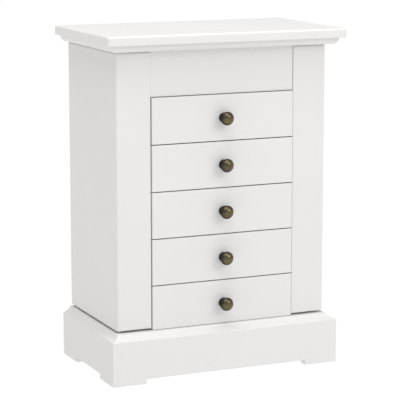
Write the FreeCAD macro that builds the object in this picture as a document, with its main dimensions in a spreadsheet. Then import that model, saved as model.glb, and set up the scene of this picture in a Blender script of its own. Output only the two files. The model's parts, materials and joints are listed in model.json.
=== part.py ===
import FreeCAD, Part
import math
import os
import Sketcher

# Table-top jewelry armoire: a plinth and carcass of painted board, five sliding drawers, a side
# door on each flank that wraps round the front corner, and a mirror-lined lift-up lid.
# Frame: +Z up, front towards -Y, origin at the middle of the floor footprint. Millimetres.

doc = FreeCAD.newDocument("JewelryArmoire")
sheet = doc.addObject("Spreadsheet::Sheet", "Sizes")

DRIVING = {
    "overall_height": 400.0,
    "face_y": -68.5,              # front face of the doors
    "cabinet_width": 264.0,       # over the doors
    "cabinet_depth": 153.0,       # front face of the doors to the back
    "board": 9.0,                 # door, carcass and drawer-front board
    "lid_side_overhang": 16.5,
    "lid_front_overhang": 21.0,
    "lid_board_height": 11.0,
    "moulding_height": 8.2,
    "moulding_inset": 6.6,
    "moulding_width": 28.0,
    "ovolo_radius": 7.8,
    "edge_easing": 1.2,
    "lid_easing": 2.4,
    "plinth_side_overhang": 11.0,
    "plinth_front_overhang": 14.7,
    "plinth_height": 58.8,
    "plinth_board": 12.0,
    "plinth_nose": 0.8,
    "cove_bottom": 52.0,
    "cove_depth": 9.5,
    "cove_radius": 13.7,
    "cutout_height": 5.9,
    "cutout_half_width": 102.0,
    "cutout_side_start": 28.0,    # behind the doors' front face
    "cutout_side_end": 107.5,
    "cutout_corner": 1.5,
    "block_side": 16.0,
    "block_lift": 2.0,            # corner blocks above the cut-outs
    "stile_width": 42.1,
    "door_bottom": 61.4,
    "door_top": 379.8,
    "door_corner": 3.0,
    "door_top_easing": 1.8,
    "carcass_top": 379.9,
    "stile_gap": 0.5,               # stile to the carcass edge behind it
    "swing_gap": 0.6,             # door to fixed carcass
    "front_gap": 1.1,             # round each drawer front
    "drawer_pitch": 54.4,
    "top_gap_z": 328.4,           # middle of the gap above the top drawer
    "last_front_bottom": 59.1,
    "drawer_proud": 2.0,
    "front_easing": 0.8,
    "divider": 3.0,
    "divider_setback": 3.0,
    "runner_gap": 0.4,
    "drawer_wall": 6.0,
    "drawer_length": 126.5,       # box behind the drawer front
    "drawer_headroom": 5.0,
    "drawer_bottom": 3.0,
    "fascia_recess": 1.0,
    "fascia_depth": 12.0,
    "fascia_gap": 0.5,
    "fascia_drop": 0.4,             # below the tray floor, to narrow the gap over drawer 1
    "tray_floor": 6.0,
    "tray_divider": 3.0,
    "tray_divider_height": 28.0,
    "tray_split": 14.0,
    "roll_height": 20.0,
    "roll_gap": 0.6,
    "roll_rounding": 9.5,
    "mirror_thickness": 2.0,
    "mirror_gap": 1.0,
    "rear_rail": 18.0,
    "knob_radius": 7.9,
    "rose_radius": 5.9,
    "neck_radius": 3.3,
    "knob_reach": 16.5,
    "knob_crown": 11.2,           # where the dome of the knob starts
    "rose_height": 1.2,
    "rose_bevel": 1.0,
    "neck_start": 3.4,
    "neck_sweep": 3.4,
    "head_start": 8.4,
    "head_undercut": 1.6,
    "rim_start": 9.3,
    "rim_bevel": 0.6,
    "bolt_radius": 2.0,
    "bolt_hole_radius": 2.2,
    "bolt_head_radius": 3.6,
    "bolt_head": 2.0,
    "bolt_grip": 6.0,
    "leaf": 1.0,                  # hinge leaf thickness
    "knuckle_radius": 2.25,
    "knuckle_offset": 0.5,        # knuckle clear of the board faces
    "pin_radius": 1.1,
    "pin_clearance": 0.05,
    "pin_overhang": 0.5,
    "hinge_length": 30.0,
    "knuckle_gap": 0.3,
    "wide_leaf": 16.0,
    "narrow_leaf": 6.0,
    "lower_hinge_z": 100.0,
    "upper_hinge_z": 342.0,
    "lid_hinge_x": 60.0,
    "screw_head_radius": 1.9,
    "screw_head": 0.9,
    "screw_radius": 0.9,
    "screw_length": 8.0,
    "screw_spread": 9.0,
    "hook_rail": 6.0,
    "hook_rail_height": 14.0,
    "hook_rail_z": 346.0,
    "hook_rail_start": 24.0,
    "hook_rail_length": 112.0,
    "hook_reach": 11.0,
    "hook_radius": 1.4,
    "hook_tip_radius": 2.6,
    "catch_z": 300.0,
    "catch_height": 18.0,
    "catch_width": 8.0,
    "catch_depth": 10.0,
    "strike": 1.0,
}
DRAWERS = 5
ROLLS = 6
HOOKS = 6

for row, (alias, value) in enumerate(DRIVING.items(), start=1):
    sheet.set(f"A{row}", alias)
    sheet.set(f"B{row}", str(value))
    sheet.setAlias(f"B{row}", alias)
doc.recompute()


class Size:
    """A length worked out from the sheet: its value now, and the expression that keeps it bound."""

    def __init__(self, text, value):
        self.text, self.value = text, value

    def __add__(self, other):
        return combined(self, "+", other, lambda a, b: a + b)

    def __radd__(self, other):
        return combined(other, "+", self, lambda a, b: a + b)

    def __sub__(self, other):
        return combined(self, "-", other, lambda a, b: a - b)

    def __rsub__(self, other):
        return combined(other, "-", self, lambda a, b: a - b)

    def __mul__(self, other):
        return combined(self, "*", other, lambda a, b: a * b)

    def __rmul__(self, other):
        return combined(other, "*", self, lambda a, b: a * b)

    def __truediv__(self, other):
        return combined(self, "/", other, lambda a, b: a / b)

    def __neg__(self):
        return combined(0, "-", self, lambda a, b: a - b)


def sized(item):
    return item if isinstance(item, Size) else Size(f"{float(item):g}", float(item))


def combined(left, sign, right, rule):
    left, right = sized(left), sized(right)
    return Size(f"({left.text} {sign} {right.text})", rule(left.value, right.value))


class Driving:
    """Each alias of the sheet as an attribute."""


S = Driving()
for alias, value in DRIVING.items():
    setattr(S, alias, Size(f"Sizes.{alias}", float(sheet.get(alias))))


# ---------------------------------------------------------------- building pieces

TURNS = {
    "+x": FreeCAD.Rotation(FreeCAD.Vector(0, 1, 0), 90),
    "+y": FreeCAD.Rotation(FreeCAD.Vector(1, 0, 0), -90),
    "-y": FreeCAD.Rotation(FreeCAD.Vector(1, 0, 0), 90),
    "+z": FreeCAD.Rotation(),
}


def bind(obj, prop, length):
    obj.setExpression(prop, sized(length).text)


def place(obj, point, turn="+z"):
    obj.Placement.Rotation = TURNS[turn]
    for letter, length in zip("xyz", point):
        bind(obj, f"Placement.Base.{letter}", length)
    return obj


def block(label, low, sides):
    """A board, from its lowest corner and its three sides."""
    box = doc.addObject("Part::Box", label)
    for prop, length in zip(("Length", "Width", "Height"), sides):
        bind(box, prop, length)
    return place(box, low)


def rod(label, start, radius, length, along):
    cylinder = doc.addObject("Part::Cylinder", label)
    bind(cylinder, "Radius", radius)
    bind(cylinder, "Height", length)
    return place(cylinder, start, along)


def cone(label, start, radius, far_radius, length, along):
    solid = doc.addObject("Part::Cone", label)
    bind(solid, "Radius1", radius)
    bind(solid, "Radius2", far_radius)
    bind(solid, "Height", length)
    return place(solid, start, along)


def ball(label, centre, radius):
    sphere = doc.addObject("Part::Sphere", label)
    bind(sphere, "Radius", radius)
    return place(sphere, centre)


def joined(label, pieces):
    union = doc.addObject("Part::MultiFuse", label)
    union.Shapes = list(pieces)
    return union


def group(label, pieces):
    """Separate solids that share one node."""
    compound = doc.addObject("Part::Compound", label)
    compound.Links = list(pieces)
    return compound


def without(label, base, tools):
    cut = doc.addObject("Part::Cut", label)
    cut.Base = base
    cut.Tool = tools[0] if len(tools) == 1 else joined(label + "_tools", tools)
    return cut


def shared(label, base, tool):
    common = doc.addObject("Part::Common", label)
    common.Base, common.Tool = base, tool
    return common


def mirrored(label, source):
    """The same piece on the other side of the middle plane."""
    twin = doc.addObject("Part::Mirroring", label)
    twin.Source = source
    twin.Normal = FreeCAD.Vector(1, 0, 0)
    return twin


def eased(label, base, radius, wanted):
    """The base with a rounding on each edge that the test wants."""
    doc.recompute()
    fillet = doc.addObject("Part::Fillet", label)
    fillet.Base = base
    chosen = [i for i, edge in enumerate(base.Shape.Edges, start=1) if wanted(edge)]
    fillet.Edges = [(i, radius.value, radius.value) for i in chosen]
    return fillet


def lies_at(edge, axis, where):
    """Whether the whole edge lies in the plane where the axis has that value."""
    return all(abs(getattr(v.Point, axis) - sized(where).value) < 0.01 for v in edge.Vertexes)


def drawn(body, plane, outline):
    """A closed sketch on one of the body's origin planes, with every corner bound to the sheet.

    An outline entry is (u, v) where a straight side starts, or (u, v, radius, bow) where an arc
    starts: bow is 1 for an arc that bows to the right of its way round, and -1 to the left.
    """
    sketch = body.newObject("Sketcher::SketchObject", body.Name + "_outline")
    support = [f for f in body.Origin.OriginFeatures if f.Role == plane][0]
    sketch.AttachmentSupport = (support, "")
    sketch.MapMode = "FlatFace"
    corners = [FreeCAD.Vector(sized(p[0]).value, sized(p[1]).value, 0) for p in outline]
    count = len(outline)
    points = []
    for i, entry in enumerate(outline):
        start, end = corners[i], corners[(i + 1) % count]
        if len(entry) == 2:
            sketch.addGeometry(Part.LineSegment(start, end), False)
            points.append((1, 2))
            continue
        chord, radius = end - start, sized(entry[2]).value
        rise = radius - math.sqrt(max(radius**2 - (chord.Length / 2) ** 2, 0.0))
        outward = FreeCAD.Vector(chord.y, -chord.x, 0).normalize()
        sketch.addGeometry(Part.Arc(start, (start + end) / 2 + outward * rise * entry[3], end), False)
        points.append((1, 2) if entry[3] > 0 else (2, 1))
    for i, entry in enumerate(outline):
        first, last = points[i]
        following = (i + 1) % count
        sketch.addConstraint(Sketcher.Constraint("Coincident", i, last, following, points[following][0]))
        for kind, length in (("DistanceX", entry[0]), ("DistanceY", entry[1])):
            rule = Sketcher.Constraint(kind, -1, 1, i, first, sized(length).value)
            sketch.setExpression(f"Constraints[{sketch.addConstraint(rule)}]", sized(length).text)
        if len(entry) > 2:
            rule = Sketcher.Constraint("Radius", i, sized(entry[2]).value)
            sketch.setExpression(f"Constraints[{sketch.addConstraint(rule)}]", sized(entry[2]).text)
    return sketch


def extruded(label, plane, outline, length, start):
    """A body whose outline is padded; a pad from the XZ plane runs towards -Y."""
    body = doc.addObject("PartDesign::Body", label)
    pad = body.newObject("PartDesign::Pad", label + "_pad")
    pad.Profile = drawn(body, plane, outline)
    bind(pad, "Length", length)
    body.Tip = pad
    return place(body, start)


def turned(label, outline, start, turn):
    """A body whose outline in the XZ plane is turned about its upright axis."""
    body = doc.addObject("PartDesign::Body", label)
    spin = body.newObject("PartDesign::Revolution", label + "_turn")
    sketch = drawn(body, "XZ_Plane", outline)
    spin.Profile = sketch
    spin.ReferenceAxis = (sketch, ["V_Axis"])
    spin.Angle = 360.0
    body.Tip = spin
    return place(body, start, turn)


NODES = {}


def node(label, piece):
    """Names a finished sub-part, which is written to a file of that name."""
    piece.Label = label
    NODES[label] = piece
    return piece


# ---------------------------------------------------------------- shared places

back_y = S.face_y + S.cabinet_depth
half_width = S.cabinet_width / 2
door_inner = half_width - S.board                 # inner face of each side door
wall_inner = half_width - S.stile_width           # inner face of each partition wall
wall_front = S.face_y + S.board + S.stile_gap             # partition edge, behind the stile
carcass_back = back_y - S.board
lid_underside = S.overall_height - S.lid_board_height - S.moulding_height
lid_half = half_width + S.lid_side_overhang
lid_front = S.face_y - S.lid_front_overhang
plinth_half = half_width + S.plinth_side_overhang
plinth_front = S.face_y - S.plinth_front_overhang
pin_y = back_y + S.knuckle_offset + S.knuckle_radius
door_pin_x = door_inner - S.swing_gap / 2
lid_pin_z = (lid_underside + S.carcass_top) / 2
tray_floor_z = S.top_gap_z + S.front_gap / 2
tray_top_z = tray_floor_z + S.tray_floor
fascia_bottom = tray_floor_z - S.fascia_drop
tray_front = S.face_y + S.fascia_recess + S.fascia_depth


# ---------------------------------------------------------------- plinth

def coved_profile(outer, inward):
    """Plinth section in (across, up): a coved top edge on the outer side."""
    def across(distance):
        return outer + distance if inward > 0 else outer - distance

    inner = across(S.plinth_board)
    return [
        (across(0), 0),
        (inner, 0),
        (inner, S.plinth_height),
        (across(S.cove_depth), S.plinth_height, S.cove_radius, -inward),
        (across(S.plinth_nose), S.cove_bottom, S.plinth_nose, inward),
        (across(0), S.cove_bottom - S.plinth_nose),
    ]


def corner_cutter(label, outer_x, outer_y, reach):
    """A square block turned 45 degrees that takes all beyond a mitre at the front left corner."""
    cutter = block(label, (outer_x, outer_y, -1), (reach, reach, S.overall_height + 2))
    cutter.Placement.Rotation = FreeCAD.Rotation(FreeCAD.Vector(0, 0, 1), 45)
    return cutter


def cutout(label, low, sides, axis):
    """A floor cut-out between two feet, with its two upper corners rounded along an axis."""
    solid = block(label + "_block", low, sides)
    return eased(label, solid, S.cutout_corner,
                 lambda e: lies_at(e, "z", S.cutout_height) and abs(e.tangentAt(0)[axis]) > 0.9)


def build_plinth():
    front_board = extruded("plinth_front_board", "YZ_Plane", coved_profile(plinth_front, 1),
                           2 * plinth_half, (-plinth_half, 0, 0))
    left_mitre = corner_cutter("plinth_left_mitre", -plinth_half, plinth_front, S.cabinet_depth * 2)
    right_mitre = mirrored("plinth_right_mitre", left_mitre)
    front_gap = cutout("plinth_front_gap", (-S.cutout_half_width, plinth_front - 1, -1),
                       (2 * S.cutout_half_width, S.plinth_board + 2, S.cutout_height + 1), 1)
    node("plinth_front", without("plinth_front_cut", front_board, [left_mitre, right_mitre, front_gap]))

    side_length = back_y - plinth_front
    side_board = extruded("plinth_side_board", "XZ_Plane", coved_profile(-plinth_half, 1),
                          side_length, (0, back_y, 0))
    side_mitre = corner_cutter("plinth_side_mitre", -plinth_half, plinth_front, S.cabinet_depth * 2)
    side_gap = cutout("plinth_side_gap", (-plinth_half - 1, S.face_y + S.cutout_side_start, -1),
                      (S.plinth_board + 2, S.cutout_side_end - S.cutout_side_start,
                       S.cutout_height + 1), 0)
    kept = shared("plinth_side_kept", side_board, side_mitre)
    left_side = without("plinth_left_side", kept, [side_gap])
    node("plinth_sides", group("plinth_sides_pair", [left_side, mirrored("plinth_right_side", left_side)]))

    inner_half = plinth_half - S.plinth_board
    back_board = block("plinth_back_board", (-inner_half, back_y - S.plinth_board, 0),
                       (2 * inner_half, S.plinth_board, S.plinth_height))
    back_gap = cutout("plinth_back_gap", (-S.cutout_half_width, back_y - S.plinth_board - 1, -1),
                      (2 * S.cutout_half_width, S.plinth_board + 2, S.cutout_height + 1), 1)
    node("plinth_back", without("plinth_back_cut", back_board, [back_gap]))

    floor_front = plinth_front + S.plinth_board
    node("base_board", block("base_board_box", (-inner_half, floor_front, S.plinth_height - S.board),
                             (2 * inner_half, back_y - S.plinth_board - floor_front, S.board)))
    height = S.plinth_height - S.board - S.cutout_height - S.block_lift
    blocks = []
    for i, y in enumerate((floor_front, back_y - S.plinth_board - S.block_side)):
        left = block(f"corner_block_{i}", (-inner_half, y, S.cutout_height + S.block_lift),
                     (S.block_side, S.block_side, height))
        blocks += [left, mirrored(f"corner_block_{i}_twin", left)]
    node("corner_blocks", group("corner_block_set", blocks))


# ---------------------------------------------------------------- carcass

def build_carcass():
    wall_height = S.carcass_top - S.plinth_height
    wall_depth = carcass_back - wall_front
    left_wall = block("partition_left_box", (-(wall_inner + S.board), wall_front, S.plinth_height),
                      (S.board, wall_depth, wall_height))
    node("partition_left", left_wall)
    node("partition_right", mirrored("partition_right_box", left_wall))
    back_half = door_inner - S.swing_gap
    node("back_panel", block("back_panel_box", (-back_half, carcass_back, S.plinth_height),
                             (2 * back_half, S.board, wall_height)))

    fascia_half = wall_inner - S.fascia_gap
    fascia_height = S.carcass_top - fascia_bottom
    show = block("fascia_show", (-fascia_half, S.face_y + S.fascia_recess, fascia_bottom),
                 (2 * fascia_half, S.fascia_depth, fascia_height))
    tongue = block("fascia_tongue", (-wall_inner, wall_front, fascia_bottom),
                   (2 * wall_inner, tray_front - wall_front, fascia_height))
    node("fascia", eased("fascia_eased", joined("fascia_board", [show, tongue]), S.front_easing,
                         lambda e: lies_at(e, "y", S.face_y + S.fascia_recess)
                         and lies_at(e, "z", fascia_bottom)))

    dividers = []
    for i in range(1, DRAWERS):
        middle = S.top_gap_z - i * S.drawer_pitch
        dividers.append(block(f"divider_{i}",
                              (-wall_inner, wall_front + S.divider_setback, middle - S.divider / 2),
                              (2 * wall_inner, carcass_back - wall_front - S.divider_setback,
                               S.divider)))
    node("drawer_dividers", group("divider_set", dividers))

    cap_inner = wall_inner + S.board
    cap = block("side_cap_left", (-(door_inner - S.swing_gap), wall_front, S.carcass_top - S.board),
                (door_inner - S.swing_gap - cap_inner, wall_depth, S.board))
    node("side_caps", group("side_cap_pair", [cap, mirrored("side_cap_right", cap)]))
    catch = block("catch_left", (-(cap_inner + S.catch_width), wall_front + S.strike, S.catch_z),
                  (S.catch_width, S.catch_depth, S.catch_height))
    node("door_catches", group("catch_pair", [catch, mirrored("catch_right", catch)]))


def build_tray():
    node("tray_floor", block("tray_floor_box", (-wall_inner, tray_front, tray_floor_z),
                             (2 * wall_inner, carcass_back - tray_front, S.tray_floor)))
    depth = carcass_back - tray_front
    split = block("tray_split_board", (S.tray_split, tray_front, tray_top_z),
                  (S.tray_divider, depth, S.tray_divider_height))
    boards = [split]
    right = S.tray_split + S.tray_divider
    for i in (1, 2):
        boards.append(block(f"tray_cross_{i}", (right, tray_front + i * depth / 3, tray_top_z),
                            (wall_inner - right, S.tray_divider, S.tray_divider_height)))
    node("tray_dividers", group("tray_divider_set", boards))

    pitch = depth / ROLLS
    rolls = []
    for i in range(ROLLS):
        core = block(f"roll_core_{i}",
                     (-wall_inner + S.roll_gap / 2, tray_front + i * pitch + S.roll_gap / 2, tray_top_z),
                     (S.tray_split + wall_inner - S.roll_gap, pitch - S.roll_gap, S.roll_height))
        rolls.append(eased(f"roll_{i}", core, S.roll_rounding,
                           lambda e: lies_at(e, "z", tray_top_z + S.roll_height)
                           and abs(e.tangentAt(0).x) > 0.9))
    node("ring_rolls", group("roll_set", rolls))


# ---------------------------------------------------------------- hinges

def screw(label, x, z):
    """A countersunk screw driven towards -Y, with its head flush with the hinge leaf."""
    top = back_y + S.leaf
    head = cone(label + "_head", (x, top, z), S.screw_head_radius, S.screw_radius, S.screw_head, "-y")
    shank = rod(label + "_shank", (x, top - S.screw_head, z), S.screw_radius,
                S.screw_length - S.screw_head, "-y")
    return joined(label, [head, shank])


def hinge_half(label, upright, middle, axis_at, leaf_from, leaf_width, knuckles, screw_at):
    """One leaf of a butt hinge with its knuckles, in the plane of the back.

    The pin runs along Z when upright, else along X. axis_at is the pin's place across the leaf,
    middle its centre along the pin, and knuckles names which thirds of the length this leaf holds.
    """
    third = S.hinge_length / 3
    low = middle - S.hinge_length / 2

    def box(name, across, width, along, length):
        if upright:
            return block(name, (across, back_y, along), (width, S.leaf, length))
        return block(name, (along, back_y, across), (length, S.leaf, width))

    def barrel(name, radius, along, length):
        if upright:
            return rod(name, (axis_at, pin_y, along), radius, length, "+z")
        return rod(name, (along, pin_y, axis_at), radius, length, "+x")

    solids = [box(label + "_plate", leaf_from, leaf_width, low, S.hinge_length)]
    for k in knuckles:
        start = low + k * third + S.knuckle_gap / 2
        length = third - S.knuckle_gap
        if sized(leaf_from).value > sized(axis_at).value:
            tongue = box(f"{label}_tongue_{k}", axis_at, leaf_from + 0.1 - axis_at, start, length)
        else:
            edge = leaf_from + leaf_width
            tongue = box(f"{label}_tongue_{k}", edge - 0.1, axis_at - edge + 0.1, start, length)
        solids += [barrel(f"{label}_knuckle_{k}", S.knuckle_radius, start, length), tongue]
    tools = [barrel(label + "_bore", S.pin_radius + S.pin_clearance, low - 1, S.hinge_length + 2)]
    screws = []
    for k, side in enumerate((-1, 1)):
        along = middle + side * S.screw_spread
        x, z = (screw_at, along) if upright else (along, screw_at)
        tools.append(cone(f"{label}_sink_{k}", (x, back_y + S.leaf, z), S.screw_head_radius,
                          S.screw_radius, S.screw_head, "-y"))
        tools.append(rod(f"{label}_hole_{k}", (x, back_y + S.leaf, z), S.screw_radius,
                         S.leaf + 1, "-y"))
        screws.append(screw(f"{label}_screw_{k}", x, z))
    return without(label, joined(label + "_blank", solids), tools), screws


def hinge_pin(label, upright, middle, axis_at):
    length = S.hinge_length + 2 * S.pin_overhang
    if upright:
        return rod(label, (axis_at, pin_y, middle - length / 2), S.pin_radius, length, "+z")
    return rod(label, (middle - length / 2, pin_y, axis_at), S.pin_radius, length, "+x")


def build_hinges():
    reach = S.knuckle_radius + S.knuckle_gap
    fixed, fixed_screws = [], []
    moving, moving_screws, pins = [], [], []
    for name, z in (("lower", S.lower_hinge_z), ("upper", S.upper_hinge_z)):
        pin_x = -door_pin_x
        leaf, screws = hinge_half(f"door_{name}_fixed", True, z, pin_x, pin_x + reach, S.wide_leaf,
                                  (0, 2), pin_x + reach + S.wide_leaf / 2)
        fixed.append(leaf)
        fixed_screws += screws
        leaf, screws = hinge_half(f"door_{name}_moving", True, z, pin_x,
                                  pin_x - reach - S.narrow_leaf, S.narrow_leaf, (1,),
                                  pin_x - reach - S.narrow_leaf / 2)
        moving.append(leaf)
        moving_screws += screws
        pins.append(hinge_pin(f"door_{name}_pin", True, z, pin_x))

    twins = [mirrored(piece.Name + "_twin", piece) for piece in fixed]
    node("door_hinge_fixed_leaves", group("door_fixed_leaf_set", fixed + twins))
    sets = {"hinge_leaves": moving, "hinge_screws": moving_screws, "hinge_pins": pins}
    for part, pieces in sets.items():
        left = node(f"door_left_{part}", group(f"door_left_{part}_set", pieces))
        node(f"door_right_{part}", mirrored(f"door_right_{part}_set", left))
    fixed_screws += [mirrored(piece.Name + "_twin", piece) for piece in fixed_screws]

    lid_fixed, lid_moving, lid_screws, lid_pins = [], [], [], []
    for name, x in (("left", -S.lid_hinge_x), ("right", S.lid_hinge_x)):
        leaf, screws = hinge_half(f"lid_{name}_fixed", False, x, lid_pin_z,
                                  lid_pin_z - reach - S.wide_leaf, S.wide_leaf, (0, 2),
                                  lid_pin_z - reach - S.wide_leaf / 2)
        lid_fixed.append(leaf)
        fixed_screws += screws
        leaf, screws = hinge_half(f"lid_{name}_moving", False, x, lid_pin_z, lid_pin_z + reach,
                                  S.wide_leaf, (1,), S.overall_height - S.lid_board_height / 2)
        lid_moving.append(leaf)
        lid_screws += screws
        lid_pins.append(hinge_pin(f"lid_{name}_pin", False, x, lid_pin_z))
    node("lid_hinge_fixed_leaves", group("lid_fixed_leaf_set", lid_fixed))
    node("lid_hinge_leaves", group("lid_leaf_set", lid_moving))
    node("lid_hinge_screws", group("lid_screw_set", lid_screws))
    node("lid_hinge_pins", group("lid_pin_set", lid_pins))
    node("carcass_hinge_screws", group("fixed_screw_set", fixed_screws))


# ---------------------------------------------------------------- doors

def build_doors():
    height = S.door_top - S.door_bottom
    flank = block("door_flank", (-half_width, S.face_y, S.door_bottom),
                  (S.board, S.cabinet_depth, height))
    wrap = block("door_wrap", (-half_width, S.face_y, S.door_bottom), (S.stile_width, S.board, height))
    blank = joined("door_blank", [flank, wrap])
    rounded = eased("door_rounded", blank, S.door_corner,
                    lambda e: lies_at(e, "x", -half_width) and lies_at(e, "y", S.face_y))

    def on_outside(edge):
        inner_x, inner_y = (-door_inner).value, (S.face_y + S.board).value
        return all(v.Point.x < inner_x - 0.1 or v.Point.y < inner_y - 0.1 for v in edge.Vertexes)

    topped = eased("door_topped", rounded, S.door_top_easing,
                   lambda e: lies_at(e, "z", S.door_top) and on_outside(e))
    mitre = corner_cutter("door_mitre", -half_width, S.face_y, S.cabinet_depth * 2)
    left_panel = node("door_left_panel", shared("door_left_panel_cut", topped, mitre))
    left_stile = node("door_left_stile", without("door_left_stile_cut", topped, [mitre]))
    node("door_right_panel", mirrored("door_right_panel_cut", left_panel))
    node("door_right_stile", mirrored("door_right_stile_cut", left_stile))

    rail_y = S.face_y + S.hook_rail_start
    rail = block("hook_rail_bar", (-door_inner, rail_y, S.hook_rail_z - S.hook_rail_height / 2),
                 (S.hook_rail, S.hook_rail_length, S.hook_rail_height))
    hooks = [eased("hook_rail_eased", rail, S.edge_easing,
                   lambda e: lies_at(e, "x", -door_inner + S.hook_rail))]
    spacing = S.hook_rail_length / HOOKS
    foot_x = -door_inner + S.hook_rail
    for i in range(HOOKS):
        y = rail_y + (i + 0.5) * spacing
        peg = rod(f"hook_peg_{i}", (foot_x, y, S.hook_rail_z), S.hook_radius, S.hook_reach, "+x")
        tip = ball(f"hook_tip_{i}", (foot_x + S.hook_reach, y, S.hook_rail_z), S.hook_tip_radius)
        hooks.append(joined(f"hook_{i}", [peg, tip]))
    left_hooks = node("door_left_hooks", group("door_left_hook_set", hooks))
    node("door_right_hooks", mirrored("door_right_hook_set", left_hooks))
    strike = block("strike_plate", (-(wall_inner + S.board + S.catch_width), S.face_y + S.board, S.catch_z),
                   (S.catch_width, S.strike, S.catch_height))
    left_strike = node("door_left_strike", strike)
    node("door_right_strike", mirrored("strike_plate_twin", left_strike))


# ---------------------------------------------------------------- drawers

def knob_outline():
    """Half section of a turned knob as (radius, reach from the drawer front)."""
    reach, head, rose = S.knob_reach, S.knob_radius, S.rose_radius
    rise = reach - S.knob_crown
    return [
        (S.bolt_radius, 0),
        (rose, 0),
        (rose, S.rose_height),
        (rose - S.rose_bevel, S.rose_height + S.rose_bevel),
        (S.neck_radius, S.neck_start, S.neck_sweep, -1),
        (head - S.head_undercut, S.head_start),
        (head - S.rim_bevel, S.rim_start),
        (head, S.knob_crown, (head * head + rise * rise) / (rise * 2), 1),
        (0, reach),
        (0, S.bolt_grip),
        (S.bolt_radius, S.bolt_grip),
    ]


def build_drawer(i):
    name = f"drawer_{i + 1}"
    face = S.face_y - S.drawer_proud
    rear = face + S.board
    upper_gap = S.top_gap_z - i * S.drawer_pitch
    lower_gap = S.top_gap_z - (i + 1) * S.drawer_pitch
    is_last = i == DRAWERS - 1
    top = upper_gap - S.front_gap / 2
    bottom = S.last_front_bottom if is_last else lower_gap + S.front_gap / 2
    box_bottom = (S.plinth_height if is_last else lower_gap + S.divider / 2) + S.runner_gap
    box_top = upper_gap - S.divider / 2 - S.drawer_headroom
    half = wall_inner - S.front_gap
    knob_z = (top + upper_gap - S.drawer_pitch + S.front_gap / 2) / 2

    panel = eased(name + "_panel", block(name + "_board", (-half, face, bottom),
                                         (2 * half, S.board, top - bottom)),
                  S.front_easing, lambda e: lies_at(e, "y", face))
    hole = rod(name + "_bolt_hole", (0, rear + 1, knob_z), S.bolt_hole_radius, S.board + 2, "-y")
    node(name + "_front", without(name + "_front_cut", panel, [hole]))

    wall_height = box_top - box_bottom
    left = block(name + "_left_wall", (-half, rear, box_bottom),
                 (S.drawer_wall, S.drawer_length, wall_height))
    back = block(name + "_back_wall",
                 (-half + S.drawer_wall, rear + S.drawer_length - S.drawer_wall, box_bottom),
                 (2 * half - 2 * S.drawer_wall, S.drawer_wall, wall_height))
    node(name + "_walls", group(name + "_wall_set", [left, mirrored(name + "_right_wall", left), back]))
    node(name + "_bottom", block(name + "_bottom_board", (-half + S.drawer_wall, rear, box_bottom),
                                 (2 * half - 2 * S.drawer_wall, S.drawer_length - S.drawer_wall,
                                  S.drawer_bottom)))

    knob = turned(name + "_knob_body", knob_outline(), (0, face, knob_z), "-y")
    head = rod(name + "_bolt_head", (0, rear, knob_z), S.bolt_head_radius, S.bolt_head, "+y")
    shank = rod(name + "_bolt_shank", (0, rear, knob_z), S.bolt_radius, S.board + S.bolt_grip, "-y")
    node(name + "_knob", group(name + "_knob_set", [knob, joined(name + "_bolt", [head, shank])]))


# ---------------------------------------------------------------- lid

def build_lid():
    top_z = S.overall_height - S.lid_board_height
    board = block("lid_board_box", (-lid_half, lid_front, top_z),
                  (2 * lid_half, back_y - lid_front, S.lid_board_height))
    rounded = eased("lid_board_rounded", board, S.lid_easing,
                    lambda e: not lies_at(e, "y", back_y) and not lies_at(e, "z", top_z))
    node("lid_board", eased("lid_board_eased", rounded, S.edge_easing,
                            lambda e: not lies_at(e, "y", back_y) and lies_at(e, "z", top_z)))

    depth = S.moulding_width

    def ovolo_profile(outer):
        """Moulding section in (across, up): a quarter round under the overhang."""
        return [
            (outer, top_z),
            (outer, lid_underside + S.ovolo_radius, S.ovolo_radius, 1),
            (outer + S.ovolo_radius, lid_underside),
            (outer + depth, lid_underside),
            (outer + depth, top_z),
        ]

    outer_y = lid_front + S.moulding_inset
    outer_x = -lid_half + S.moulding_inset
    front = extruded("lid_front_strip", "YZ_Plane", ovolo_profile(outer_y), -2 * outer_x, (outer_x, 0, 0))
    left_mitre = corner_cutter("lid_left_mitre", outer_x, outer_y, S.cabinet_depth * 2)
    right_mitre = mirrored("lid_right_mitre", left_mitre)
    node("lid_moulding_front", without("lid_front_mitred", front, [left_mitre, right_mitre]))
    side = extruded("lid_side_strip", "XZ_Plane", ovolo_profile(outer_x), back_y - outer_y, (0, back_y, 0))
    side_mitre = corner_cutter("lid_side_mitre", outer_x, outer_y, S.cabinet_depth * 2)
    left = shared("lid_left_moulding", side, side_mitre)
    node("lid_moulding_sides", group("lid_side_pair", [left, mirrored("lid_right_moulding", left)]))

    inner_x = -outer_x - depth
    inner_y = outer_y + depth
    node("lid_rear_rail", block("lid_rear_rail_box", (-inner_x, back_y - S.rear_rail, lid_underside),
                                (2 * inner_x, S.rear_rail, S.moulding_height)))
    gap = S.mirror_gap
    node("lid_mirror", block("lid_mirror_glass", (gap - inner_x, inner_y + gap, top_z - S.mirror_thickness),
                             (2 * inner_x - 2 * gap, back_y - S.rear_rail - inner_y - 2 * gap,
                              S.mirror_thickness)))


# ---------------------------------------------------------------- build, test and write

build_plinth()
build_carcass()
build_tray()
build_hinges()
build_doors()
for index in range(DRAWERS):
    build_drawer(index)
build_lid()
doc.recompute()

faults = [f"{o.Name}: {o.State}" for o in doc.Objects if {"Invalid", "Error"} & set(o.State)]
for label, piece in NODES.items():
    shape = piece.Shape
    if shape.isNull() or not shape.isValid() or not shape.Solids:
        faults.append(f"{label}: shape is null, not valid or has no solid")
if faults:
    raise RuntimeError("; ".join(faults))

os.makedirs("parts", exist_ok=True)
for label, piece in NODES.items():
    piece.Shape.exportStep(f"parts/{label}.step")
print(f"{len(NODES)} nodes written")
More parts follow.
